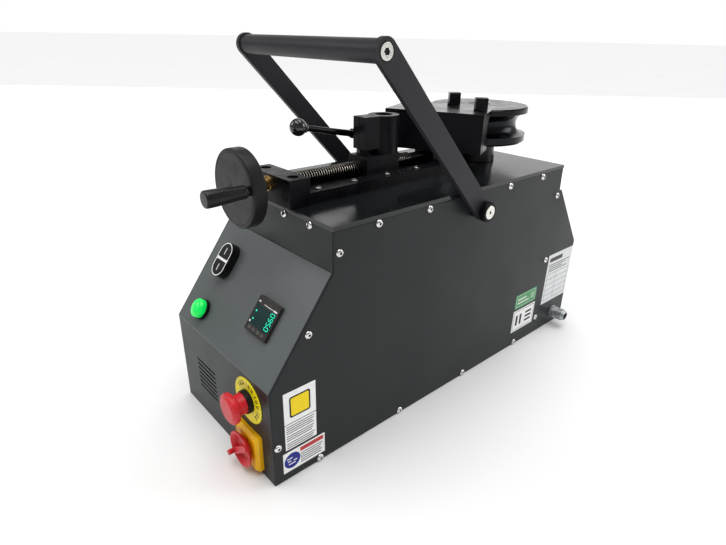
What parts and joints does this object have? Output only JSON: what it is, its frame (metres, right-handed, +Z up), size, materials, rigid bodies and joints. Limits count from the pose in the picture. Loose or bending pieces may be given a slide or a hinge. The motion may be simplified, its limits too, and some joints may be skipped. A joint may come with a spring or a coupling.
{
  "type": "bench tube bender",
  "caption": "Bench tube bender: geared bending head with grooved die and clamp, handwheel-fed carriage on a screw rail, sloped control panel and folding carry handle.",
  "frame": {"origin": "centre of the case's base, on the bench", "axes": "+X from the control end to the tail, +Y away from the operator's side, +Z up"},
  "size_m": [0.716, 0.3069, 0.521],
  "materials": {
    "case_paint": "satin fine-texture powder coat, dark grey",
    "top_paint": "semi-gloss coated steel plate, near black",
    "frame_steel": "plain painted steel",
    "black_steel": "black-oxide machined steel",
    "bright_steel": "ground and turned steel",
    "screw_steel": "rolled thread, lightly oiled",
    "zinc_screw": "bright zinc plate",
    "bronze": "turned bearing bronze",
    "arm_paint": "satin black powder coat",
    "black_plastic": "matt moulded phenolic",
    "ball_plastic": "polished phenolic",
    "red_plastic": "moulded red plastic",
    "yellow_plastic": "moulded yellow plastic",
    "green_lens": "lit green lens",
    "dark_plastic": "black control housings",
    "light_plastic": "light grey housing",
    "gland_plastic": "light grey cable gland",
    "gear_steel": "cut steel gear",
    "cast_grey": "painted cast housing",
    "motor_paint": "painted finned motor"
  },
  "bodies": {
    "case": {"base_plate": "frame_steel", "side_panel_near": "case_paint", "side_panel_far": "case_paint", "front_lower_panel": "case_paint", "control_panel": "case_paint", "brow_strip": "case_paint", "top_plate": "top_paint", "rear_strip": "case_paint", "rear_cover": "case_paint", "frame_rails": "frame_steel", "frame_posts": "frame_steel", "panel_screws": "zinc_screw", "rail_base": "black_steel", "keeper_plates": "black_steel", "keeper_screws": "zinc_screw", "bearing_block": "black_steel", "socket_screws": "black_steel", "thrust_bush": "bronze", "screw_end_block": "black_steel", "head_flange": "black_steel", "spindle_bearings": "bright_steel", "bearing_bridge": "frame_steel", "gearbox": "cast_grey", "motor": "motor_paint", "gearbox_stand": "frame_steel", "power_supply": "motor_paint", "contactor": "light_plastic", "counter": "dark_plastic", "button_housing": "dark_plastic", "pilot_lamp": "green_lens", "estop_base": "yellow_plastic", "switch_plate": "yellow_plastic", "mains_gland": "gland_plastic", "pivot_bolts": "black_steel", "pivot_spacers": "black_steel"},
    "feed_screw": {"lead_screw": "screw_steel", "handwheel": "black_plastic", "grip_spindle": "bright_steel"},
    "crank": {"crank_grip": "black_plastic"},
    "carriage": {"carriage_slide": "black_steel", "feed_nut": "bronze", "tool_holder": "black_steel", "carriage_bolt": "black_steel"},
    "lever": {"clamp_lever": "bright_steel", "lever_ball": "ball_plastic"},
    "bend_head": {"spindle": "bright_steel", "bend_die": "bright_steel", "clamp_block": "black_steel", "inner_jaw": "black_steel", "clamp_bolts": "black_steel", "drive_gear": "gear_steel"},
    "pinion": {"drive_pinion": "gear_steel"},
    "start": {"start_button": "dark_plastic"},
    "stop": {"stop_button": "dark_plastic"},
    "estop_rod": {"estop_stem": "black_steel"},
    "estop_cap": {"estop_head": "red_plastic"},
    "main_switch": {"switch_knob": "red_plastic"},
    "carry_handle": {"handle_arms": "arm_paint", "handle_grip": "arm_paint", "grip_screws": "zinc_screw"}
  },
  "joints": [
    {"name": "handwheel_turn", "type": "hinge", "parent": "case", "child": "feed_screw", "pos_m": [-0.2905, 0, 0.351], "axis": [1, 0, 0], "range_deg": [-1350, 6300]},
    {"name": "crank_grip_spin", "type": "hinge", "parent": "feed_screw", "child": "crank", "pos_m": [-0.3325, -0.03795, 0.35749], "axis": [1, 0, 0], "continuous": true},
    {"name": "carriage_travel", "type": "slide", "parent": "case", "child": "carriage", "axis": [1, 0, 0], "range_m": [-0.0702, 0.0152]},
    {"name": "lever_swing", "type": "hinge", "parent": "carriage", "child": "lever", "pos_m": [-0.0905, 0.023, 0.3915], "axis": [0, 1, 0], "range_deg": [0, 50]},
    {"name": "head_turn", "type": "hinge", "parent": "case", "child": "bend_head", "pos_m": [0.1635, 0, 0.39], "axis": [0, 0, -1], "range_deg": [0, 220]},
    {"name": "pinion_turn", "type": "hinge", "parent": "case", "child": "pinion", "pos_m": [0.051, 0, 0.215], "axis": [0, 0, -1], "range_deg": [-885, 5]},
    {"name": "start_press", "type": "slide", "parent": "case", "child": "start", "axis": [0.8038, 0, -0.595], "range_m": [0, 0.0035], "stiffness_N_per_m": 300, "springref_m": -0.002},
    {"name": "stop_press", "type": "slide", "parent": "case", "child": "stop", "axis": [0.8038, 0, -0.595], "range_m": [0, 0.0035], "stiffness_N_per_m": 300, "springref_m": -0.002},
    {"name": "estop_press", "type": "slide", "parent": "case", "child": "estop_rod", "axis": [1, 0, 0], "range_m": [0, 0.005]},
    {"name": "estop_release_twist", "type": "hinge", "parent": "estop_rod", "child": "estop_cap", "pos_m": [-0.3625, -0.073, 0.105], "axis": [1, 0, 0], "range_deg": [0, 40], "stiffness_Nm_per_rad": 0.05},
    {"name": "main_switch_turn", "type": "hinge", "parent": "case", "child": "main_switch", "pos_m": [-0.3575, -0.0715, 0.0345], "axis": [1, 0, 0], "range_deg": [0, 90]},
    {"name": "carry_handle_fold", "type": "hinge", "parent": "case", "child": "carry_handle", "pos_m": [0.0115, 0, 0.2976], "axis": [0, 1, 0], "range_deg": [-20, 130]}
  ],
  "couplings": [
    {"joint": "carriage_travel", "follows": "handwheel_turn", "m_per_rad": -0.00063662},
    {"joint": "pinion_turn", "follows": "head_turn", "ratio": -4}
  ]
}
